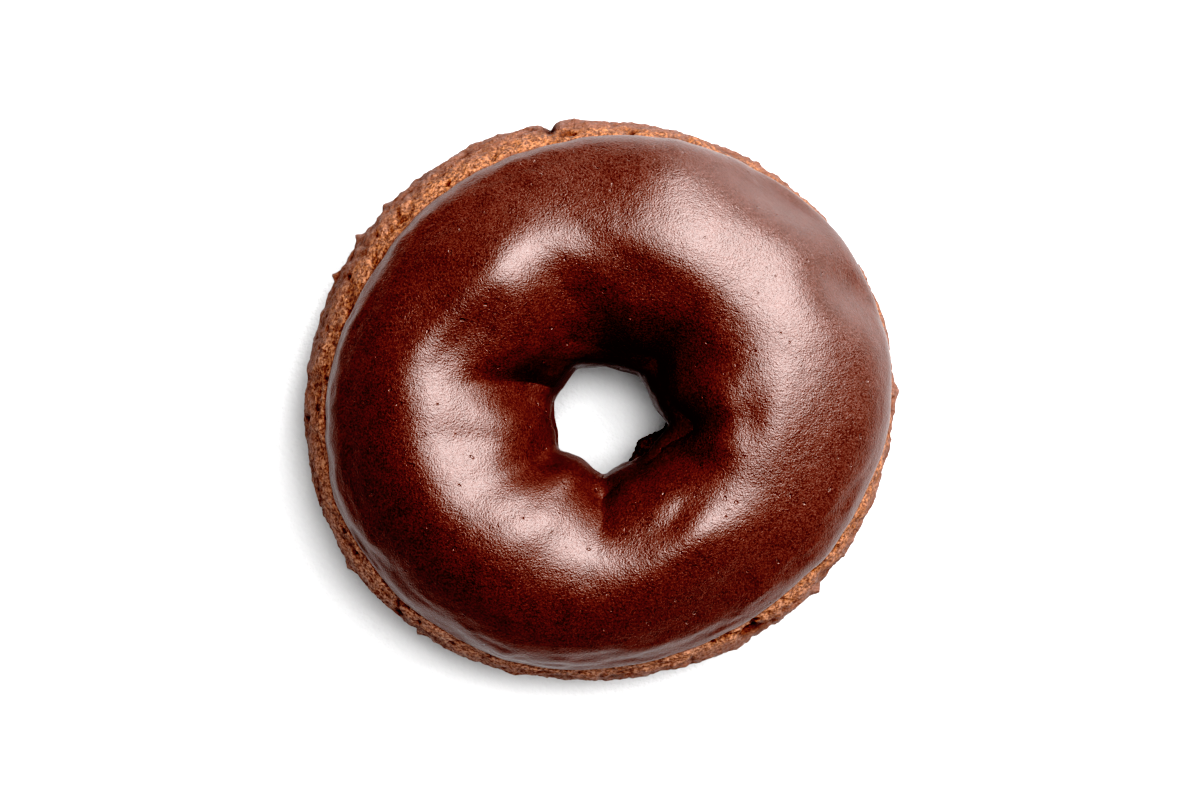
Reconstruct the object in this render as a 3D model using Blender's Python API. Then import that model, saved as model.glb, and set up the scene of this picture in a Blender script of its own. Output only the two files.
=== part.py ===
"""An iced cake doughnut: a fried ring of cake dough and the cap of chocolate icing that it was dipped in.

The ring lies flat on its base. A point of its surface is named by two angles in degrees:
turn  goes round the ring, anticlockwise as seen from above, from 0 at +X;
tilt  goes round the ring's section: 0 is the outer rim, 90 the crown, 180 the wall of the hole, 270 the base.
Lengths are in metres, +Z is up, and the origin is the middle of the footprint on the table.
"""

import bmesh
import bpy
import numpy as np

MM = 0.001

# Driving dimensions of the cake ring.
RIM_RADIUS = 42.95 * MM  # mean radius of the outer rim
RIM_LEVEL = 13.5 * MM  # height of the widest line above the table
CAKE_HEIGHT = 29.8 * MM
HOLE_RADIUS = 9.2 * MM  # mean radius at the narrowest line of the hole
HOLE_CENTRE = np.array((0.8, -2.7)) * MM
SQUARENESS = 0.86  # exponent of the section's rise: 1 is an ellipse, less is squarer
CROWN_SHIFT = -2.4 * MM  # how far the crown lies outside the middle of the dough
FOOT_STRETCH = 1.07  # how far the round underside is pushed past the table, which cuts it flat

# The icing.
ICING_THICKNESS = 1.4 * MM
LIP_LENGTH = 2.6 * MM  # distance over which an edge of the icing rounds down to nothing
SEAT_GAP = 0.3 * MM  # clearance between the icing and the cake

# Waves along the turn: how many in a full turn, height, and the turn of a crest.
RIM_WAVES = ((1, 0.42 * MM, -144), (2, 1.18 * MM, 10), (3, 0.34 * MM, -11), (4, 0.21 * MM, 33))
CROWN_WAVES = ((1, 0.95 * MM, 43), (2, 1.0 * MM, 33), (3, 0.4 * MM, 39), (4, 0.2 * MM, 66))
SHIFT_WAVES = ((1, 2.0 * MM, 162),)
OUTER_EDGE_TILT = 30.3
OUTER_EDGE_WAVES = ((1, 10.1, 175), (2, 6.2, -49), (3, 1.5, -35), (4, 1.1, -42), (5, 0.6, 3))
INNER_EDGE_TILT = 177

# Pinches where the dough folded round the hole: turn, half width along the turn, and depth at the icing's edge.
HOLE_PINCHES = (
    (50, 16, 1.5 * MM),
    (120, 15, 1.9 * MM),
    (160, 18, 1.7 * MM),
    (212, 13, 1.9 * MM),
    (238, 10, -1.1 * MM),
    (268, 14, 2.2 * MM),
    (-6, 15, 3.5 * MM),
)
WALL_SHARE = 0.5  # how much of a pinch's depth is left below the fold

# The fold where the funnel of the hole turns down into its wall: tilts, and how far the wall stands in.
FOLD_TILT = 144
FOLD_SPREAD = 16
LEDGE = 0.5 * MM

# The shelf of bare dough under the icing at the lower right of the hole: turn, half width, and how far it stands in.
HOLE_SHELF = (325, 28, 2.7 * MM)
SHELF_TILT = 14  # how much sooner the icing ends above the shelf

# Swells and dents of the top: x, y, half length, half width, bearing of the length, and height.
SWELLS = (
    # The folds round the hole, from the upper left one on.
    (-5.5 * MM, 8.0 * MM, 11.0 * MM, 3.9 * MM, 137, 3.3 * MM),
    (-12.0 * MM, 0.0 * MM, 6.5 * MM, 3.8 * MM, -17, -3.65 * MM),
    (-7.0 * MM, -4.5 * MM, 5.5 * MM, 17.5 * MM, -4, -3.15 * MM),
    (-16.0 * MM, -7.5 * MM, 16.5 * MM, 24.0 * MM, 17, 6.85 * MM),
    (-3.0 * MM, -13.0 * MM, 12.5 * MM, 2.4 * MM, 21, -0.9 * MM),
    (9.0 * MM, -16.0 * MM, 3.5 * MM, 2.2 * MM, 37, 0.8 * MM),
    (13.0 * MM, -23.0 * MM, 6.5 * MM, 1.9 * MM, 33, -0.55 * MM),
    (13.0 * MM, -8.5 * MM, 5.5 * MM, 3.3 * MM, 2, -3.7 * MM),
    (13.5 * MM, 3.5 * MM, 7.5 * MM, 7.0 * MM, 13, -3.7 * MM),
    (3.5 * MM, 20.5 * MM, 17.0 * MM, 2.4 * MM, -30, -0.35 * MM),
    # The crown, from the right one on.
    (15.5 * MM, -3.5 * MM, 7.5 * MM, 8.5 * MM, 99, 5.2 * MM),
    (21.5 * MM, -3.0 * MM, 5.0 * MM, 3.3 * MM, 84, -1.7 * MM),
    (22.5 * MM, 20.0 * MM, 8.5 * MM, 10.5 * MM, -21, -1.2 * MM),
    (0.5 * MM, 24.5 * MM, 23.5 * MM, 7.6 * MM, -7, 1.85 * MM),
    (-15.5 * MM, 19.0 * MM, 13.0 * MM, 6.1 * MM, 13, 2.25 * MM),
    (-21.5 * MM, 12.0 * MM, 9.0 * MM, 2.2 * MM, 48, 0.8 * MM),
    (-20.0 * MM, -2.0 * MM, 15.0 * MM, 6.5 * MM, 99, -2.65 * MM),
    (-12.0 * MM, -6.5 * MM, 3.5 * MM, 10.0 * MM, 85, -2.0 * MM),
    (13.5 * MM, -21.5 * MM, 11.0 * MM, 4.9 * MM, 34, 2.9 * MM),
    # The outer slope.
    (36.5 * MM, 15.5 * MM, 6.5 * MM, 4.0 * MM, 135, -3.4 * MM),
    (26.5 * MM, 28.5 * MM, 8.5 * MM, 3.2 * MM, 148, -3.2 * MM),
    (10.0 * MM, 34.5 * MM, 7.0 * MM, 6.8 * MM, 2, 1.65 * MM),
    # The small creases and ridges.
    (-11.0 * MM, 4.5 * MM, 6.5 * MM, 2.0 * MM, 14, -1.2 * MM),
    (-8.5 * MM, -4.0 * MM, 3.0 * MM, 1.8 * MM, 70, -0.3 * MM),
    (-8.5 * MM, 15.0 * MM, 6.5 * MM, 3.1 * MM, 142, 1.2 * MM),
    (6.0 * MM, 16.5 * MM, 3.5 * MM, 1.8 * MM, -4, -0.2 * MM),
    (-17.0 * MM, 18.5 * MM, 3.5 * MM, 1.8 * MM, 53, -0.15 * MM),
    (-1.5 * MM, -26.0 * MM, 2.5 * MM, 1.9 * MM, 148, -0.15 * MM),
    (14.0 * MM, -18.0 * MM, 3.5 * MM, 2.0 * MM, 46, 0.35 * MM),
)

TURNS = 90  # columns of every grid
SEAT_ROWS = 12  # rows of the cake under the icing, which the icing's underside repeats
BARE_ROWS = 12  # rows of the cake that show
CAP_ROWS = 13  # rows of the icing's top between its two lips
LIP_ROWS = 4

COLOURS = {"cake_ring": (0.42, 0.15, 0.05), "chocolate_icing": (0.075, 0.016, 0.009)}
ROUGHNESS = {"cake_ring": 0.8, "chocolate_icing": 0.35}


def waves(turn, table):
    """Sum of the cosine waves of a table, at each turn in degrees."""
    return sum(height * np.cos(np.radians(count * (turn - crest))) for count, height, crest in table)


def smooth_step(x):
    x = np.clip(x, 0, 1)
    return x * x * (3 - 2 * x)


def angle_between(turn, other):
    """The signed angle from one turn to another, from -180 to 180 degrees."""
    return (turn - other + 180) % 360 - 180


def section_points(turn, tilt):
    """Points of the ring before its pinches and swells: x, y, z."""
    outward = np.stack((np.cos(np.radians(turn)), np.sin(np.radians(turn))), -1)
    outer = outward * (RIM_RADIUS + waves(turn, RIM_WAVES))[..., None]
    inner = HOLE_CENTRE + outward * HOLE_RADIUS
    across, sine = np.cos(np.radians(tilt)), np.sin(np.radians(tilt))
    shift = (CROWN_SHIFT + waves(turn, SHIFT_WAVES)) * np.clip(sine, 0, 1) ** 2
    flat = (outer + inner) / 2 + (outer - inner) / 2 * across[..., None] + outward * shift[..., None]
    rise = np.abs(sine) ** SQUARENESS
    above = RIM_LEVEL + (CAKE_HEIGHT + waves(turn, CROWN_WAVES) - RIM_LEVEL) * rise
    below = RIM_LEVEL * np.maximum(1 - rise * FOOT_STRETCH, 0)
    return np.concatenate((flat, np.where(sine > 0, above, below)[..., None]), -1)


def hump(turn, centre, width):
    """1 at the centre of a feature along the turn, fading to nothing beyond its half width."""
    return np.exp(-((angle_between(turn, centre) / width) ** 2))


def pinched(points, turn, tilt):
    """Pushes the hole's side back along each pinch, and in below the fold and where the shelf is."""
    inside = smooth_step(0.2 - np.cos(np.radians(tilt)))
    wall = smooth_step((tilt - FOLD_TILT) / FOLD_SPREAD)
    upper = np.clip(np.sin(np.radians(tilt)), 0, 1)
    outward = np.stack((np.cos(np.radians(turn)), np.sin(np.radians(turn))), -1)
    for centre, width, depth in HOLE_PINCHES:
        push = depth * hump(turn, centre, width) * inside * (1 - (1 - WALL_SHARE) * wall)
        points[..., :2] += outward * push[..., None]
        points[..., 2] -= push * upper
    centre, width, reach = HOLE_SHELF
    bare = smooth_step((tilt - INNER_EDGE_TILT + SHELF_TILT) / SHELF_TILT)
    stand = (LEDGE * wall + reach * hump(turn, centre, width) * bare) * inside
    points[..., :2] -= outward * stand[..., None]
    return points


def swelled(points, tilt):
    """Raises or lowers the top where it swells or dents."""
    upper = smooth_step(2 * np.sin(np.radians(tilt)))
    for x, y, length, width, bearing, height in SWELLS:
        away = points[..., :2] - (x, y)
        cosine, sine = np.cos(np.radians(bearing)), np.sin(np.radians(bearing))
        along = (away[..., 0] * cosine + away[..., 1] * sine) / length
        aside = (away[..., 1] * cosine - away[..., 0] * sine) / width
        points[..., 2] += height * upper * np.exp(-(along**2) - aside**2)
    return points


def ring_surface(turn, tilt):
    """Points of the cake's surface."""
    turn, tilt = np.broadcast_arrays(np.asarray(turn, float), np.asarray(tilt, float))
    return swelled(pinched(section_points(turn, tilt), turn, tilt), tilt)


def ring_normals(turn, tilt):
    """Unit normals of the cake's surface, pointing out."""
    step = 0.5
    along = ring_surface(turn + step, tilt) - ring_surface(turn - step, tilt)
    around = ring_surface(turn, tilt + step) - ring_surface(turn, tilt - step)
    normal = np.cross(along, around)
    return normal / np.linalg.norm(normal, axis=-1, keepdims=True)


def turn_column():
    return np.linspace(0, 360, TURNS, endpoint=False)[:, None]


def icing_edges(turn):
    """Tilts of the icing's outer edge, on the rim, and of its inner edge, in the hole."""
    outer = OUTER_EDGE_TILT + waves(turn, OUTER_EDGE_WAVES)
    return outer, INNER_EDGE_TILT - SHELF_TILT * hump(turn, *HOLE_SHELF[:2])


def seat_tilts(turn):
    """Tilts of the rows that the cake and the icing's underside share, from edge to edge."""
    outer, inner = icing_edges(turn)
    return outer + (inner - outer) * np.linspace(0, 1, SEAT_ROWS)


def cake_grid():
    """The cake's points: the seat of the icing, then the bare cake from the hole round the base to the rim."""
    turn = turn_column()
    outer, inner = icing_edges(turn)
    bare = inner + (outer + 360 - inner) * np.linspace(0, 1, BARE_ROWS + 1, endpoint=False)[1:]
    return ring_surface(turn, np.concatenate((seat_tilts(turn), bare), 1))


def lip_profile():
    """Shares of the way from the outer edge to the inner one, crowded at both lips, and the thickness there."""
    lip = np.radians(np.linspace(0, 90, LIP_ROWS, endpoint=False))
    lip_share = LIP_LENGTH / (RIM_RADIUS - HOLE_RADIUS)
    rounded = lip_share * (1 - np.cos(lip))
    middle = np.linspace(lip_share, 1 - lip_share, CAP_ROWS)
    shares = np.concatenate((rounded, middle, 1 - rounded[::-1]))
    thickness = ICING_THICKNESS * np.concatenate((np.sin(lip), np.ones(CAP_ROWS), np.sin(lip[::-1])))
    return shares, thickness


def icing_grid():
    """The icing's points: over the top from its outer edge into the hole, and back along the cake."""
    turn = turn_column()
    outer, inner = icing_edges(turn)
    shares, thickness = lip_profile()
    tilt = outer + (inner - outer) * shares
    top = ring_surface(turn, tilt) + ring_normals(turn, tilt) * (SEAT_GAP + thickness)[:, None]
    tilt = seat_tilts(turn)[:, -2:0:-1]
    under = ring_surface(turn, tilt) + ring_normals(turn, tilt) * SEAT_GAP
    return np.concatenate((top, under), 1)


def ring_object(name, grid, turned):
    """A closed solid from a grid of points that wraps round in both directions.

    Rows from the one numbered turned on run back along the cake, so their squares are split the other way.
    """
    columns, rows = grid.shape[:2]
    shell = bmesh.new()
    vertices = [[shell.verts.new(point) for point in column] for column in grid]
    for i in range(columns):
        here, beyond = vertices[i], vertices[(i + 1) % columns]
        for j in range(rows):
            k = (j + 1) % rows
            if j < turned:
                shell.faces.new((here[j], beyond[j], beyond[k]))
                shell.faces.new((here[j], beyond[k], here[k]))
            else:
                shell.faces.new((here[j], beyond[j], here[k]))
                shell.faces.new((beyond[j], beyond[k], here[k]))
    bmesh.ops.recalc_face_normals(shell, faces=shell.faces)
    mesh = bpy.data.meshes.new(name)
    shell.to_mesh(mesh)
    shell.free()
    mesh.shade_smooth()
    part = bpy.data.objects.new(name, mesh)
    bpy.context.scene.collection.objects.link(part)
    return part


def food_material(name):
    material = bpy.data.materials.new(name)
    material.use_nodes = True
    shader = material.node_tree.nodes["Principled BSDF"]
    shader.inputs["Base Color"].default_value = (*COLOURS[name], 1)
    shader.inputs["Roughness"].default_value = ROUGHNESS[name]
    shader.inputs["Metallic"].default_value = 0
    return material


def main():
    for old in list(bpy.data.objects):
        bpy.data.objects.remove(old)
    cake = ring_object("cake_ring", cake_grid(), SEAT_ROWS + BARE_ROWS)
    cake.data.materials.append(food_material("cake_ring"))
    icing = ring_object("chocolate_icing", icing_grid(), CAP_ROWS + 2 * LIP_ROWS - 1)
    icing.data.materials.append(food_material("chocolate_icing"))


main()
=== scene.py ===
"""The looks of the iced cake doughnut: rough fried crumb, set chocolate icing and a pale studio.

A point of the doughnut's surface is named by two angles in degrees, as in part.py:
turn  goes round the ring, anticlockwise as seen from above, from 0 at +X;
tilt  goes round the ring's section: 0 is the outer rim, 90 the crown, 180 the wall of the hole, 270 the base.
Lengths are in metres. The values down to SWELLS and the functions down to ring_surface repeat part.py's; only
CREASES are added to them.
"""

import bpy
import numpy as np
from mathutils import Matrix, Vector


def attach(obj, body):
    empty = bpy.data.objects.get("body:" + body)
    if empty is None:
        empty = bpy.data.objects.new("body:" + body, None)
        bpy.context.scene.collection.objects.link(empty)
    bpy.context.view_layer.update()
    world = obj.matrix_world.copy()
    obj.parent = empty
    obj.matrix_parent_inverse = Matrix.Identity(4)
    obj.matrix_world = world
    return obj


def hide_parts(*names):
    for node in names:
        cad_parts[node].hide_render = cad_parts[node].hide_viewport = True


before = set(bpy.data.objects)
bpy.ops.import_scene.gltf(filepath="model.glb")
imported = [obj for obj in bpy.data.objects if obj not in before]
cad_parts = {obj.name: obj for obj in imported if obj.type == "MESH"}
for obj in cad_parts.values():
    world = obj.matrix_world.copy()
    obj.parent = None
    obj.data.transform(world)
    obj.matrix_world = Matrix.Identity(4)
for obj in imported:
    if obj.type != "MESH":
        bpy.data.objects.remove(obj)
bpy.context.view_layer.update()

MM = 0.001

# Driving dimensions of the cake ring.
RIM_RADIUS = 42.95 * MM  # mean radius of the outer rim
RIM_LEVEL = 13.5 * MM  # height of the widest line above the table
CAKE_HEIGHT = 29.8 * MM
HOLE_RADIUS = 9.2 * MM  # mean radius at the narrowest line of the hole
HOLE_CENTRE = np.array((0.8, -2.7)) * MM
SQUARENESS = 0.86  # exponent of the section's rise: 1 is an ellipse, less is squarer
CROWN_SHIFT = -2.4 * MM  # how far the crown lies outside the middle of the dough
FOOT_STRETCH = 1.07  # how far the round underside is pushed past the table, which cuts it flat

# The icing.
ICING_THICKNESS = 1.4 * MM
LIP_LENGTH = 2.6 * MM  # distance over which an edge of the icing rounds down to nothing
SEAT_GAP = 0.3 * MM  # clearance between the solids, so that the icing's top stands as high as in the CAD

# Waves along the turn: how many in a full turn, height, and the turn of a crest. These and the rows of SWELLS
# repeat part.py's. They were worked out by fitting programs and then rounded, and weren't chosen by hand.
RIM_WAVES = ((1, 0.42 * MM, -144), (2, 1.18 * MM, 10), (3, 0.34 * MM, -11), (4, 0.21 * MM, 33))
CROWN_WAVES = ((1, 0.95 * MM, 43), (2, 1.0 * MM, 33), (3, 0.4 * MM, 39), (4, 0.2 * MM, 66))
SHIFT_WAVES = ((1, 2.0 * MM, 162),)
OUTER_EDGE_TILT = 30.3
OUTER_EDGE_WAVES = ((1, 10.1, 175), (2, 6.2, -49), (3, 1.5, -35), (4, 1.1, -42), (5, 0.6, 3))
INNER_EDGE_TILT = 177

# Pinches where the dough folded round the hole: turn, half width along the turn, and depth at the icing's
# edge.
HOLE_PINCHES = (
    (50, 16, 1.5 * MM),
    (120, 15, 1.9 * MM),
    (160, 18, 1.7 * MM),
    (212, 13, 1.9 * MM),
    (238, 10, -1.1 * MM),
    (268, 14, 2.2 * MM),
    (-6, 15, 3.5 * MM),
)
WALL_SHARE = 0.5  # how much of a pinch's depth is left below the fold

# The fold where the funnel of the hole turns down into its wall: tilts, and how far the wall stands in.
FOLD_TILT = 144
FOLD_SPREAD = 16
LEDGE = 0.5 * MM

# The shelf of bare dough under the icing at the lower right of the hole: turn, half width, and how far it
# stands in.
HOLE_SHELF = (325, 28, 2.7 * MM)
SHELF_TILT = 14  # how much sooner the icing ends above the shelf

# Swells and dents of the top: x, y, half length, half width, bearing of the length, and height.
SWELLS = (
    # The folds round the hole, from the upper left one on.
    (-5.5 * MM, 8.0 * MM, 11.0 * MM, 3.9 * MM, 137, 3.3 * MM),
    (-12.0 * MM, 0.0 * MM, 6.5 * MM, 3.8 * MM, -17, -3.65 * MM),
    (-7.0 * MM, -4.5 * MM, 5.5 * MM, 17.5 * MM, -4, -3.15 * MM),
    (-16.0 * MM, -7.5 * MM, 16.5 * MM, 24.0 * MM, 17, 6.85 * MM),
    (-3.0 * MM, -13.0 * MM, 12.5 * MM, 2.4 * MM, 21, -0.9 * MM),
    (9.0 * MM, -16.0 * MM, 3.5 * MM, 2.2 * MM, 37, 0.8 * MM),
    (13.0 * MM, -23.0 * MM, 6.5 * MM, 1.9 * MM, 33, -0.55 * MM),
    (13.0 * MM, -8.5 * MM, 5.5 * MM, 3.3 * MM, 2, -3.7 * MM),
    (13.5 * MM, 3.5 * MM, 7.5 * MM, 7.0 * MM, 13, -3.7 * MM),
    (3.5 * MM, 20.5 * MM, 17.0 * MM, 2.4 * MM, -30, -0.35 * MM),
    # The crown, from the right one on.
    (15.5 * MM, -3.5 * MM, 7.5 * MM, 8.5 * MM, 99, 5.2 * MM),
    (21.5 * MM, -3.0 * MM, 5.0 * MM, 3.3 * MM, 84, -1.7 * MM),
    (22.5 * MM, 20.0 * MM, 8.5 * MM, 10.5 * MM, -21, -1.2 * MM),
    (0.5 * MM, 24.5 * MM, 23.5 * MM, 7.6 * MM, -7, 1.85 * MM),
    (-15.5 * MM, 19.0 * MM, 13.0 * MM, 6.1 * MM, 13, 2.25 * MM),
    (-21.5 * MM, 12.0 * MM, 9.0 * MM, 2.2 * MM, 48, 0.8 * MM),
    (-20.0 * MM, -2.0 * MM, 15.0 * MM, 6.5 * MM, 99, -2.65 * MM),
    (-12.0 * MM, -6.5 * MM, 3.5 * MM, 10.0 * MM, 85, -2.0 * MM),
    (13.5 * MM, -21.5 * MM, 11.0 * MM, 4.9 * MM, 34, 2.9 * MM),
    # The outer slope.
    (36.5 * MM, 15.5 * MM, 6.5 * MM, 4.0 * MM, 135, -3.4 * MM),
    (26.5 * MM, 28.5 * MM, 8.5 * MM, 3.2 * MM, 148, -3.2 * MM),
    (10.0 * MM, 34.5 * MM, 7.0 * MM, 6.8 * MM, 2, 1.65 * MM),
    # The small creases and ridges.
    (-11.0 * MM, 4.5 * MM, 6.5 * MM, 2.0 * MM, 14, -1.2 * MM),
    (-8.5 * MM, -4.0 * MM, 3.0 * MM, 1.8 * MM, 70, -0.3 * MM),
    (-8.5 * MM, 15.0 * MM, 6.5 * MM, 3.1 * MM, 142, 1.2 * MM),
    (6.0 * MM, 16.5 * MM, 3.5 * MM, 1.8 * MM, -4, -0.2 * MM),
    (-17.0 * MM, 18.5 * MM, 3.5 * MM, 1.8 * MM, 53, -0.15 * MM),
    (-1.5 * MM, -26.0 * MM, 2.5 * MM, 1.9 * MM, 148, -0.15 * MM),
    (14.0 * MM, -18.0 * MM, 3.5 * MM, 2.0 * MM, 46, 0.35 * MM),
)

# Fine grids.
ICING_TURNS = 690
ICING_CAP_ROWS = 104
ICING_LIP_ROWS = 14
UNDER_STEP = 12  # the icing's underside has one row for so many of its top
CAKE_TURNS = 900
CAKE_SEAT_ROWS = 8
OVERLAP = 0.3 * MM  # how far the icing's underside reaches into the cake, so that no gap shows

# Rows of the bare cake: how far round the section each stretch ends, and how many rows it has.
HOLE_STRETCH = (212, 22)
BASE_STRETCH = (332, 26)
RIM_ROWS = 50

# Repeatable noise: multipliers that mix a cell's three numbers, and one that mixes them again.
MIX_CELL = (374761393, 668265263, 2147483647)
MIX_AGAIN = 1274126177
SEED_STEP = 17.31  # how far each seed moves the noise, in lumps
GRAIN_SEED_STEP = 11.7  # the same for grains
GRAIN_AXIS_STEP = 31  # cells between the random numbers for the x, y and z of a grain's centre
ABOVE_ZERO = 1000  # moves all cells to where their numbers are above 0

# Relief of the crumb: size, height, and seed.
CRUMB_LUMPS = ((4 * MM, 0.18 * MM, 1), (1.5 * MM, 0.16 * MM, 2), (0.75 * MM, 0.16 * MM, 3))
CRUMB_GRAINS = (0.75 * MM, 0.22 * MM, 5)
GRAIN_MIDDLE = 0.55  # the distance from a grain's centre, in grain sizes, that counts as no height
CRUMB_FLAKES = (3.2 * MM, 0.22 * MM, 7)
FLAKE_SHARPNESS = 5
FLAKE_SHARE = 0.3  # more of it raises more of the crumb as flakes
CRUMB_PITS = (1.5 * MM, 1.3 * MM, 6)
PIT_START = 0.45  # more of it leaves fewer pits
CRUMB_STREAKS = (3.5 * MM, 0.7 * MM, 0.15 * MM, 21)  # size along the rim, size up it, height, and seed
CRUMB_START = 0.9 * MM  # distance from the icing at which the crumb has its full relief
BASE_FADE = 1.5 * MM  # height above the table at which it has its full relief

# Broken places of the crumb: turn, tilt, half width along the rim, half width up the rim, and height.
BREAKS = (
    (100.5, 8, 0.8 * MM, 4.5 * MM, -1.3 * MM),
    (97.0, 25, 1.2 * MM, 1.2 * MM, -0.6 * MM),
    (303.0, 20, 1.5 * MM, 1.0 * MM, -1.7 * MM),
    (213.5, 2, 0.7 * MM, 1.4 * MM, 0.9 * MM),
    (206.0, 0, 2.4 * MM, 3.0 * MM, -0.6 * MM),
    (318.5, 4, 0.7 * MM, 1.2 * MM, 0.8 * MM),
    (2.0, 3, 1.0 * MM, 1.5 * MM, 0.7 * MM),
    (138.0, 5, 0.8 * MM, 1.0 * MM, 0.8 * MM),
    (141.0, 4, 1.2 * MM, 1.5 * MM, -0.5 * MM),
    (146.0, 5, 0.6 * MM, 1.0 * MM, 0.8 * MM),
    (155.0, 4, 0.5 * MM, 0.8 * MM, 0.8 * MM),
    (180.0, 3, 0.5 * MM, 1.5 * MM, -0.5 * MM),
    (232.0, 2, 0.6 * MM, 1.0 * MM, 0.6 * MM),
    (283.0, 2, 1.0 * MM, 1.4 * MM, -0.5 * MM),
)

# Creases round the hole, besides those of the solids. Each has the same six numbers as a row of SWELLS.
CREASES = (
    (-8.5 * MM, 3.0 * MM, 5.0 * MM, 1.3 * MM, -8, -1.2 * MM),
    (0.8 * MM, 7.5 * MM, 4.5 * MM, 3.0 * MM, 80, -2.2 * MM),
    (-10.0 * MM, -3.5 * MM, 6.0 * MM, 3.0 * MM, 75, 0.5 * MM),
)

# Relief of the icing all over: size, height, and seed.
ICING_LUMPS = ((7 * MM, 0.07 * MM, 11), (2.6 * MM, 0.03 * MM, 12))

# Wrinkles of the icing near its edges: size along the rim, size across it, height, and seed.
EDGE_WRINKLES = ((8 * MM, 2.2 * MM, 0.26 * MM, 13), (3 * MM, 0.8 * MM, 0.09 * MM, 14))
EDGE_REACH = 6 * MM  # how far in from the icing's outer edge its wrinkles go
WRINKLE_WAVES = ((1, 0.7, 235),)  # where round the rim they are strong
LEAST_WRINKLED = 0.2  # their share of strength where they are weakest
HOLE_WRINKLES = ((7 * MM, 1.2 * MM, 0.26 * MM, 17), (4 * MM, 0.6 * MM, 0.12 * MM, 18))
HOLE_REACH = 5 * MM  # how far in from the icing's inner edge its wrinkles go

# The icing falls more steeply near its outer edge.
STEEP_REACH = 3.2 * MM
STEEP_DEPTH = 0.62 * MM
STEEP_WAVES = ((1, 0.3, 300),)  # where round the rim that reaches far in
STEEP_WANDER = (9 * MM, 0.35, 19)  # how it varies besides: size, share, and seed

# Wander of the icing's edges: size, degrees, and seed.
OUTER_RAGGED = ((9 * MM, 1.8, 15), (3 * MM, 0.9, 16))
INNER_RAGGED = ((3 * MM, 3.6, 16), (1 * MM, 1.8, 17))

# Colours, as reflected light from 0 to 1.
ICING_DARK = (0.037, 0.0140, 0.0100)
ICING_LIGHT = (0.071, 0.0295, 0.0230)
# Colours of the crumb, of the brown skin and of the painted light on the lower-left side, each after the
# noise at which it is pure.
CRUMB_COLOURS = ((0.40, (0.10, 0.043, 0.029)), (0.49, (0.19, 0.079, 0.045)), (0.60, (0.37, 0.146, 0.064)))
SKIN_COLOURS = ((0.36, (0.11, 0.048, 0.034)), (0.64, (0.20, 0.085, 0.057)))
PAINTED_FLOOR_LIGHT_COLOURS = ((0.38, (0.14, 0.080, 0.064)), (0.62, (0.38, 0.235, 0.190)))
PAINTED_FLOOR_LIGHT_SIDE = (230, 75)  # the turn where the painted floor light makes the dough palest and greyest, and how far that reaches
# The most that the painted floor light, paler and greyer dough standing in for light from the bright floor,
# is mixed into the colour.
PAINTED_FLOOR_LIGHT_SHARE = 0.7
# Painted shade: the colour that darkens the crumb's pits and the dough down the hole.
PAINTED_PIT_SHADE = (0.4, 0.32, 0.28)
PIT_SHADE_RELIEF = (-0.45, 0.05)  # relief in millimetres where a pit has its full painted shade, and where it has none
PAINTED_HOLE_SHADE = (190, 90, 60)  # where the dough down the hole gets the same painted shade as a pit: middle tilt, reach, span of its fading
BROWNED = (0.95, 1.3)  # nearness to the icing plus noise: brown skin up to the first, crumb from the second
FLOOR_COLOUR = (0.55, 0.55, 0.553)
ICING_SHINE = 0.82  # specular level
SHINE_TINT = (1, 0.86, 0.84)

# Specks and patches of colour: size.
ICING_CLOUDS = 3 * MM
CLOUD_SHARE = 0.4
ICING_SPECKS = 0.3 * MM
ICING_SHADES = (0.5, 0.9)  # clouds and specks together: where the icing is darkest, and lightest
CRUMB_SPECKS = 0.5 * MM
SKIN_SPECKS = 0.6 * MM
BROWN_PATCHES = 1.6 * MM

# Roughness: size of its patches, the least of it, and the most.
ICING_ROUGHNESS = (0.3 * MM, 0.33, 0.47)
CAKE_ROUGHNESS = (1.2 * MM, 0.55, 0.85)
ROUGHNESS_SPAN = (0.3, 0.7)  # the noise at which roughness is least, and most
FLOOR_ROUGHNESS = 0.7

# Fine bumps of the materials: size and height.
ICING_GRAIN = (0.26 * MM, 0.075 * MM)
ICING_DIMPLES = (1.3 * MM, 0.08 * MM)
ICING_PINHOLES = (1.1 * MM, 0.12 * MM)
PINHOLE_EDGE = (0.80, 0.86)  # the noise at which a pinhole begins, and is deepest
CAKE_BUMPS = (0.4 * MM, 0.5 * MM)
PAPER_BUMPS = (0.8 * MM, 0.25 * MM)

# Lights. Each: direction from the doughnut, distance, the axis of its length, width, length, and power.
KEY_SOFTBOX = ((0.44, 0.38, 0.81), 0.8, (0.37, 0.78, -0.51), 0.56, 0.88, 25)
LOW_SOFTBOX = ((0.55, 0.78, 0.22), 0.8, (0, 0, 1), 1.0, 0.3, 0.5)
TOP_FILL = ((0.03, 0.05, 1), 0.85, (1, 0, 0), 0.35, 0.35, 9)
SURROUND = 0.18  # strength of the light from all round
TONE_CURVE = ((0.05, 0.0005), (0.11, 0.008), (0.17, 0.056), (0.25, 0.147))  # light in, light shown

FLOOR_HALF = 3  # half the width of the floor
CAMERA_LENS = 100  # in millimetres
SENSOR_WIDTH = 36  # in millimetres
CAMERA_HEIGHT = 0.5  # above the doughnut's widest line


def waves(turn, table):
    """Sum of the cosine waves of a table, at each turn in degrees."""
    return sum(height * np.cos(np.radians(count * (turn - crest))) for count, height, crest in table)


def smooth_step(x):
    x = np.clip(x, 0, 1)
    return x * x * (3 - 2 * x)


def angle_between(turn, other):
    """The signed angle from one turn to another, from -180 to 180 degrees."""
    return (turn - other + 180) % 360 - 180


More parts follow.
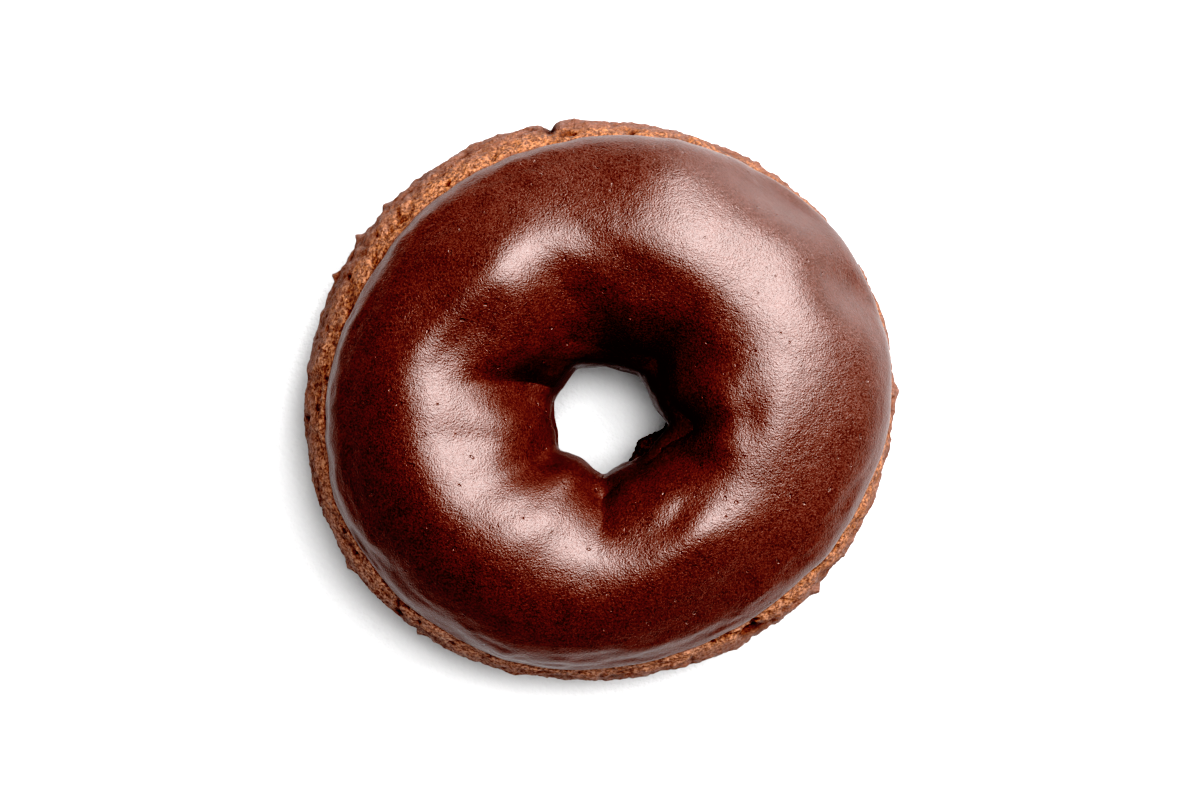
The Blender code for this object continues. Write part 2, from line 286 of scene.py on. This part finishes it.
def section_points(turn, tilt):
    """Points of the ring before its pinches and swells: x, y, z."""
    outward = np.stack((np.cos(np.radians(turn)), np.sin(np.radians(turn))), -1)
    outer = outward * (RIM_RADIUS + waves(turn, RIM_WAVES))[..., None]
    inner = HOLE_CENTRE + outward * HOLE_RADIUS
    across, sine = np.cos(np.radians(tilt)), np.sin(np.radians(tilt))
    shift = (CROWN_SHIFT + waves(turn, SHIFT_WAVES)) * np.clip(sine, 0, 1) ** 2
    flat = (outer + inner) / 2 + (outer - inner) / 2 * across[..., None] + outward * shift[..., None]
    rise = np.abs(sine) ** SQUARENESS
    above = RIM_LEVEL + (CAKE_HEIGHT + waves(turn, CROWN_WAVES) - RIM_LEVEL) * rise
    below = RIM_LEVEL * np.maximum(1 - rise * FOOT_STRETCH, 0)
    return np.concatenate((flat, np.where(sine > 0, above, below)[..., None]), -1)


def hump(turn, centre, width):
    """1 at the centre of a feature along the turn, fading to nothing beyond its half width."""
    return np.exp(-((angle_between(turn, centre) / width) ** 2))


def pinched(points, turn, tilt):
    """Pushes the hole's side back along each pinch, and in below the fold and where the shelf is."""
    inside = smooth_step(0.2 - np.cos(np.radians(tilt)))  # from 0 on the rim's side to 1 on the hole's
    wall = smooth_step((tilt - FOLD_TILT) / FOLD_SPREAD)
    upper = np.clip(np.sin(np.radians(tilt)), 0, 1)
    outward = np.stack((np.cos(np.radians(turn)), np.sin(np.radians(turn))), -1)
    for centre, width, depth in HOLE_PINCHES:
        push = depth * hump(turn, centre, width) * inside * (1 - (1 - WALL_SHARE) * wall)
        points[..., :2] += outward * push[..., None]
        points[..., 2] -= push * upper
    centre, width, reach = HOLE_SHELF
    bare = smooth_step((tilt - INNER_EDGE_TILT + SHELF_TILT) / SHELF_TILT)
    stand = (LEDGE * wall + reach * hump(turn, centre, width) * bare) * inside
    points[..., :2] -= outward * stand[..., None]
    return points


def swelled(points, tilt):
    """Raises or lowers the top where it swells or dents."""
    upper = smooth_step(2 * np.sin(np.radians(tilt)))  # from 0 at the widest line to 1 well above it
    for x, y, length, width, bearing, height in SWELLS + CREASES:
        away = points[..., :2] - (x, y)
        cosine, sine = np.cos(np.radians(bearing)), np.sin(np.radians(bearing))
        along = (away[..., 0] * cosine + away[..., 1] * sine) / length
        aside = (away[..., 1] * cosine - away[..., 0] * sine) / width
        points[..., 2] += height * upper * np.exp(-(along**2) - aside**2)
    return points


def ring_surface(turn, tilt):
    """Points of the cake's surface."""
    turn, tilt = np.broadcast_arrays(np.asarray(turn, float), np.asarray(tilt, float))
    return swelled(pinched(section_points(turn, tilt), turn, tilt), tilt)


def lattice(cells):
    """Repeatable random numbers from 0 to 1, one for each whole-numbered cell."""
    x, y, z = (cells[..., i].astype(np.uint32) for i in range(3))
    by_x, by_y, by_z = (np.uint32(multiplier) for multiplier in MIX_CELL)
    mixed = x * by_x + y * by_y + z * by_z
    mixed = (mixed ^ (mixed >> np.uint32(13))) * np.uint32(MIX_AGAIN)
    return ((mixed ^ (mixed >> np.uint32(16))) & np.uint32(0xFFFF)) / 65535.0


def noise(points, size, seed):
    """Smooth noise from -1 to 1, with lumps of the given size."""
    scaled = points / size + seed * SEED_STEP + ABOVE_ZERO
    cells = np.floor(scaled)
    inner = scaled - cells
    blend = inner * inner * (3 - 2 * inner)
    total = 0
    for corner in np.ndindex(2, 2, 2):
        weight = np.prod(np.where(corner, blend, 1 - blend), -1)
        total = total + weight * lattice(cells + corner)
    return 2 * total - 1


def grains(points, size, seed):
    """Distance to the nearest of scattered grain centres, in grain sizes.

    It is 0 at a centre and about 1 between grains.
    """
    scaled = points / size + seed * GRAIN_SEED_STEP + ABOVE_ZERO
    cells = np.floor(scaled)
    nearest = np.full(points.shape[:-1], np.inf)
    for offset in np.ndindex(3, 3, 3):
        cell = cells + offset - 1
        centre = cell + np.stack([lattice(cell + GRAIN_AXIS_STEP * i) for i in (1, 2, 3)], -1)
        nearest = np.minimum(nearest, np.linalg.norm(scaled - centre, axis=-1))
    return nearest


def grid_normals(grid, wraps):
    """Unit normals of a grid of points that wraps round along its columns, and along its rows if wraps."""
    along = np.roll(grid, -1, 0) - np.roll(grid, 1, 0)
    around = np.roll(grid, -1, 1) - np.roll(grid, 1, 1)
    if not wraps:
        around[:, 0] = grid[:, 1] - grid[:, 0]
        around[:, -1] = grid[:, -1] - grid[:, -2]
    normal = np.cross(along, around)
    return normal / np.linalg.norm(normal, axis=-1, keepdims=True)


def turn_column(count):
    return np.linspace(0, 360, count, endpoint=False)[:, None]


def rim_points(turn, across, radius=RIM_RADIUS):
    """Points of an upright tube: round it by the turn, and up it by a distance."""
    angle = np.radians(turn)
    return np.stack(np.broadcast_arrays(radius * np.cos(angle), radius * np.sin(angle), across), -1)


def streaks(turn, across, along_size, across_size, seed, radius=RIM_RADIUS):
    """Noise from -1 to 1 that is drawn out along the rim, or along a ring of another radius."""
    return noise(rim_points(turn, across * along_size / across_size, radius), along_size, seed)


def icing_edges(turn):
    """Tilts of the icing's outer edge, on the rim, and of its inner edge, in the hole."""
    outer = OUTER_EDGE_TILT + waves(turn, OUTER_EDGE_WAVES)
    inner = INNER_EDGE_TILT - SHELF_TILT * hump(turn, *HOLE_SHELF[:2])
    for size, degrees, seed in OUTER_RAGGED:
        outer = outer + degrees * noise(rim_points(turn, 0), size, seed)
    for size, degrees, seed in INNER_RAGGED:
        inner = inner + degrees * noise(rim_points(turn, 0, HOLE_RADIUS), size, seed)
    return outer, inner


def section_lengths(grid):
    """Distance of each point of a grid from its column's first point, along the column."""
    steps = np.linalg.norm(np.diff(grid, axis=1), axis=-1)
    return np.concatenate((np.zeros((len(grid), 1)), np.cumsum(steps, 1)), 1)


def lip_profile(cap_rows, lip_rows):
    """Shares of the way from the outer edge to the inner one, crowded at both lips, and the thickness."""
    lip = np.radians(np.linspace(0, 90, lip_rows, endpoint=False))
    lip_share = LIP_LENGTH / (RIM_RADIUS - HOLE_RADIUS)
    rounded = lip_share * (1 - np.cos(lip))
    middle = np.linspace(lip_share, 1 - lip_share, cap_rows)
    shares = np.concatenate((rounded, middle, 1 - rounded[::-1]))
    thickness = ICING_THICKNESS * np.concatenate((np.sin(lip), np.ones(cap_rows), np.sin(lip[::-1])))
    return shares, thickness


def ring_mesh(name, grid, attributes):
    """A closed mesh object from a grid of points that wraps round both ways, with values at its points."""
    columns, rows = grid.shape[:2]
    index = np.arange(columns * rows).reshape(columns, rows)
    beyond = np.roll(index, -1, 0)
    faces = np.stack((index, beyond, np.roll(beyond, -1, 1), np.roll(index, -1, 1)), -1).reshape(-1, 4)
    mesh = bpy.data.meshes.new(name)
    mesh.from_pydata(grid.reshape(-1, 3).tolist(), [], faces.tolist())
    mesh.shade_smooth()
    for label, values in attributes.items():
        stored = mesh.attributes.new(label, "FLOAT", "POINT")
        stored.data.foreach_set("value", np.broadcast_to(values, grid.shape[:2]).astype(np.float32).ravel())
    piece = bpy.data.objects.new(name, mesh)
    bpy.context.scene.collection.objects.link(piece)
    return piece


def icing_relief(turn, seat, thickness):
    """How far the icing's top stands above its mean thickness."""
    inward = section_lengths(seat)
    outward = inward[:, -1:] - inward
    relief = 0
    for size, height, seed in ICING_LUMPS:
        relief = relief + height * noise(seat, size, seed)
    wrinkled = np.maximum(1 + waves(turn, WRINKLE_WAVES), LEAST_WRINKLED)
    near_edge = wrinkled * np.exp(-((inward / EDGE_REACH) ** 2))
    for along_size, across_size, height, seed in EDGE_WRINKLES:
        relief = relief + height * near_edge * streaks(turn, inward, along_size, across_size, seed)
    size, share, seed = STEEP_WANDER
    reach = STEEP_REACH * (1 + waves(turn, STEEP_WAVES) + share * noise(rim_points(turn, 0), size, seed))
    relief = relief - STEEP_DEPTH * wrinkled * np.exp(-((inward / reach) ** 2))
    near_hole = np.exp(-((outward / HOLE_REACH) ** 2))
    for along_size, across_size, height, seed in HOLE_WRINKLES:
        wrinkles = streaks(turn, outward, along_size, across_size, seed, HOLE_RADIUS)
        relief = relief + height * near_hole * wrinkles
    return relief * thickness / ICING_THICKNESS


def icing_piece():
    turn = turn_column(ICING_TURNS)
    outer, inner = icing_edges(turn)
    shares, thickness = lip_profile(ICING_CAP_ROWS, ICING_LIP_ROWS)
    seat = ring_surface(turn, outer + (inner - outer) * shares)
    normals = grid_normals(seat, False)
    height = thickness + SEAT_GAP + icing_relief(turn, seat, thickness)
    top = seat + normals * height[..., None]
    under = (seat - normals * OVERLAP)[:, -2:0:-UNDER_STEP]
    return ring_mesh("icing_cap", np.concatenate((top, under), 1), {})


def cake_tilts(turn):
    """Tilts of the cake's rows: under the icing, down the hole, along the base and up the rim."""
    outer, inner = icing_edges(turn)
    knots = [outer, inner, HOLE_STRETCH[0], BASE_STRETCH[0], outer + 360]
    counts = [CAKE_SEAT_ROWS, HOLE_STRETCH[1], BASE_STRETCH[1], RIM_ROWS]
    stretches = []
    for low, high, count in zip(knots, knots[1:], counts):
        rows = low + (high - low) * np.linspace(0, 1, count, endpoint=False)
        stretches.append(np.broadcast_to(rows, (len(turn), count)))
    return np.concatenate(stretches, 1)


def crumb_relief(turn, tilt, points):
    """Height of the broken crumb above the smooth dough, and how far it lies open to the air."""
    outer, inner = icing_edges(turn)
    degree = np.radians(1) * (RIM_RADIUS - HOLE_RADIUS) / 2
    bare = smooth_step(np.minimum(tilt - inner, outer + 360 - tilt) * degree / CRUMB_START)
    raised = smooth_step(points[..., 2] / BASE_FADE)
    relief = 0
    for size, height, seed in CRUMB_LUMPS:
        relief = relief + height * noise(points, size, seed)
    size, height, seed = CRUMB_GRAINS
    relief = relief + height * (GRAIN_MIDDLE - grains(points, size, seed))
    size, height, seed = CRUMB_FLAKES
    relief = relief + height * smooth_step(noise(points, size, seed) * FLAKE_SHARPNESS + FLAKE_SHARE)
    size, depth, seed = CRUMB_PITS
    relief = relief - depth * np.maximum(noise(points, size, seed) - PIT_START, 0)
    along_size, across_size, height, seed = CRUMB_STREAKS
    relief = relief + height * streaks(turn, tilt * degree, along_size, across_size, seed)
    for centre, level, along, up, height in BREAKS:
        aside = np.radians(angle_between(turn, centre)) * RIM_RADIUS / along
        above = angle_between(tilt, level) * degree / up
        relief = relief + height * np.exp(-(aside**2) - above**2)
    return relief * bare * raised, bare


def cake_piece():
    turn = turn_column(CAKE_TURNS)
    tilt = cake_tilts(turn)
    smooth = ring_surface(turn, tilt)
    relief, bare = crumb_relief(turn, tilt, smooth)
    grid = smooth + grid_normals(smooth, True) * relief[..., None]
    outer = icing_edges(turn)[0]
    under_icing = np.clip(angle_between(tilt, 0) / outer, 0, 1) * bare
    # Painted shade: the dough down the hole's wall is darkened like a pit.
    middle, reach, span = PAINTED_HOLE_SHADE
    painted_hole_shade = smooth_step((reach - abs(tilt - middle)) / span)
    # Painted light: the lower-left side of the dough gets paler, greyer colours that stand in for light from
    # the bright floor.
    painted_floor_light = hump(turn, *PAINTED_FLOOR_LIGHT_SIDE)
    values = {"relief": relief / MM, "below_icing": under_icing, "painted_hole_shade": painted_hole_shade, "painted_floor_light": painted_floor_light}
    return ring_mesh("cake_crumb", grid, values)


class Nodes:
    """Short ways to add shader nodes to one material."""

    def __init__(self, name):
        self.material = bpy.data.materials.new(name)
        self.material.use_nodes = True
        self.tree = self.material.node_tree
        self.shader = self.tree.nodes["Principled BSDF"]

    def add(self, kind, **values):
        node = self.tree.nodes.new(kind)
        for key, value in values.items():
            setattr(node, key, value)
        return node

    def link(self, source, target):
        self.tree.links.new(source, target)

    def noise(self, size, detail=2.0, roughness=0.5):
        """Noise from 0 to 1 with lumps of a size in metres."""
        where = self.add("ShaderNodeTexCoord")
        node = self.add("ShaderNodeTexNoise")
        node.inputs["Scale"].default_value = 1 / size
        node.inputs["Detail"].default_value = detail
        node.inputs["Roughness"].default_value = roughness
        self.link(where.outputs["Object"], node.inputs["Vector"])
        return node.outputs["Fac"]

    def attribute(self, label):
        return self.add("ShaderNodeAttribute", attribute_name=label).outputs["Fac"]

    def spread(self, value, low, high, start, end):
        """A value that goes from start to end as another goes from low to high."""
        node = self.add("ShaderNodeMapRange")
        for key, number in (("From Min", low), ("From Max", high), ("To Min", start), ("To Max", end)):
            node.inputs[key].default_value = number
        self.link(value, node.inputs["Value"])
        return node.outputs["Result"]

    def rough(self, size, least, most, detail=2.0):
        """Roughness in patches of a size, from the least to the most."""
        return self.spread(self.noise(size, detail), *ROUGHNESS_SPAN, least, most)

    def total(self, first, second):
        node = self.add("ShaderNodeMath", operation="ADD")
        self.link(first, node.inputs[0])
        self.link(second, node.inputs[1])
        return node.outputs["Value"]

    def ramp(self, value, stops):
        """Colours along a value from 0 to 1."""
        node = self.add("ShaderNodeValToRGB")
        elements = node.color_ramp.elements
        while len(elements) < len(stops):
            elements.new(0.5)
        for element, (place, colour) in zip(elements, stops):
            element.position = place
            element.color = (*colour, 1)
        self.link(value, node.inputs["Fac"])
        return node.outputs["Color"]

    def blend(self, share, first, second):
        node = self.add("ShaderNodeMix", data_type="RGBA")
        self.link(share, node.inputs["Factor"])
        self.link(first, node.inputs["A"])
        self.link(second, node.inputs["B"])
        return node.outputs["Result"]

    def bump(self, height, distance, normal=None):
        node = self.add("ShaderNodeBump")
        node.inputs["Strength"].default_value = 1
        node.inputs["Distance"].default_value = distance
        self.link(height, node.inputs["Height"])
        if normal:
            self.link(normal, node.inputs["Normal"])
        return node.outputs["Normal"]

    def tint(self, share, colour, tint):
        """A colour multiplied by a tint, by a share from 0 to 1."""
        node = self.add("ShaderNodeMix", data_type="RGBA", blend_type="MULTIPLY")
        node.inputs["B"].default_value = (*tint, 1)
        self.link(share, node.inputs["Factor"])
        self.link(colour, node.inputs["A"])
        return node.outputs["Result"]

    def finish(self, colour, roughness, normal):
        self.link(colour, self.shader.inputs["Base Color"])
        self.link(roughness, self.shader.inputs["Roughness"])
        self.link(normal, self.shader.inputs["Normal"])
        return self.material


def icing_material():
    nodes = Nodes("chocolate_icing")
    nodes.shader.inputs["Specular IOR Level"].default_value = ICING_SHINE
    nodes.shader.inputs["Specular Tint"].default_value = (*SHINE_TINT, 1)
    clouds = nodes.spread(nodes.noise(ICING_CLOUDS, detail=3, roughness=0.6), 0, 1, 0, CLOUD_SHARE)
    shade = nodes.total(clouds, nodes.noise(ICING_SPECKS, detail=1))
    colour = nodes.ramp(nodes.spread(shade, *ICING_SHADES, 0, 1), ((0, ICING_DARK), (1, ICING_LIGHT)))
    roughness = nodes.rough(*ICING_ROUGHNESS, detail=3)
    size, height = ICING_GRAIN
    grain = nodes.bump(nodes.noise(size, detail=1), height)
    size, height = ICING_DIMPLES
    dimples = nodes.bump(nodes.noise(size), height, grain)
    size, height = ICING_PINHOLES
    pinholes = nodes.spread(nodes.noise(size, detail=0), *PINHOLE_EDGE, 1, 0)
    return nodes.finish(colour, roughness, nodes.bump(pinholes, height, dimples))


def cake_material():
    nodes = Nodes("fried_cake")
    crumb_shade = nodes.noise(CRUMB_SPECKS, roughness=0.7)
    crumb = nodes.ramp(crumb_shade, CRUMB_COLOURS)
    # Paler, greyer colours of painted light from the bright floor, for the lower-left side of the dough.
    painted_floor_light = nodes.ramp(crumb_shade, PAINTED_FLOOR_LIGHT_COLOURS)
    skin = nodes.ramp(nodes.noise(SKIN_SPECKS, detail=4, roughness=0.75), SKIN_COLOURS)
    edge = nodes.total(nodes.attribute("below_icing"), nodes.noise(BROWN_PATCHES, detail=3, roughness=0.6))
    browned = nodes.spread(edge, *BROWNED, 1, 0)
    # The painted floor light is mixed in round the lower-left side.
    painted_floor_light_share = nodes.spread(nodes.attribute("painted_floor_light"), 0, 1, 0, PAINTED_FLOOR_LIGHT_SHARE)
    colour = nodes.blend(painted_floor_light_share, nodes.blend(browned, crumb, skin), painted_floor_light)
    # Painted shade: the colour is darkened where the crumb's relief is low, in its pits, and down the hole.
    pits = nodes.spread(nodes.attribute("relief"), *PIT_SHADE_RELIEF, 1, 0)
    shaded = nodes.tint(nodes.total(pits, nodes.attribute("painted_hole_shade")), colour, PAINTED_PIT_SHADE)
    size, height = CAKE_BUMPS
    bumps = nodes.bump(nodes.noise(size, detail=3, roughness=0.7), height)
    return nodes.finish(shaded, nodes.rough(*CAKE_ROUGHNESS), bumps)


def floor():
    mesh = bpy.data.meshes.new("floor")
    corners = [(x * FLOOR_HALF, y * FLOOR_HALF, 0) for x, y in ((-1, -1), (1, -1), (1, 1), (-1, 1))]
    mesh.from_pydata(corners, [], [(0, 1, 2, 3)])
    piece = bpy.data.objects.new("floor", mesh)
    bpy.context.scene.collection.objects.link(piece)
    nodes = Nodes("pale_floor")
    nodes.shader.inputs["Base Color"].default_value = (*FLOOR_COLOUR, 1)
    nodes.shader.inputs["Roughness"].default_value = FLOOR_ROUGHNESS
    size, height = PAPER_BUMPS
    nodes.link(nodes.bump(nodes.noise(size, detail=3, roughness=0.6), height), nodes.shader.inputs["Normal"])
    mesh.materials.append(nodes.material)


def softbox(name, toward, distance, length_axis, width, length, power):
    """A rectangular light that faces the doughnut from the direction toward, its length along length_axis."""
    light = bpy.data.lights.new(name, "AREA")
    light.shape = "RECTANGLE"
    light.size = width
    light.size_y = length
    light.energy = power
    back = Vector(toward).normalized()
    side = Vector(length_axis).cross(back).normalized()
    along = back.cross(side)
    obj = bpy.data.objects.new(name, light)
    turned = Matrix((side, along, back)).transposed().to_4x4()
    obj.matrix_world = Matrix.Translation(back * distance) @ turned
    bpy.context.scene.collection.objects.link(obj)
    return obj


def studio():
    floor()
    softbox("key_softbox", *KEY_SOFTBOX)
    softbox("low_softbox", *LOW_SOFTBOX)
    top = softbox("top_fill", *TOP_FILL)
    top.visible_glossy = False
    world = bpy.data.worlds.new("studio")
    world.use_nodes = True
    background = world.node_tree.nodes["Background"]
    background.inputs["Color"].default_value = (1, 1, 1, 1)
    background.inputs["Strength"].default_value = SURROUND
    world.cycles_visibility.glossy = False
    bpy.context.scene.world = world
    view = bpy.context.scene.view_settings
    view.view_transform = "Standard"
    view.use_curve_mapping = True
    all_channels = view.curve_mapping.curves[3]
    for shade, shown in TONE_CURVE:
        all_channels.points.new(shade, shown)
    view.curve_mapping.update()


def camera():
    data = bpy.data.cameras.new("camera")
    data.lens = CAMERA_LENS
    data.sensor_width = SENSOR_WIDTH
    obj = bpy.data.objects.new("camera", data)
    obj.location = (0, 0, CAMERA_HEIGHT + RIM_LEVEL)
    bpy.context.scene.collection.objects.link(obj)
    bpy.context.scene.camera = obj


def main():
    camera()
    studio()
    icing = icing_piece()
    icing.data.materials.append(icing_material())
    cake = cake_piece()
    cake.data.materials.append(cake_material())
    pieces = ((icing, "chocolate_icing", "chocolate_icing"), (cake, "cake_ring", "fried_cake"))
    for piece, node, slot in pieces:
        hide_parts(node)
        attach(piece, "root")


main()
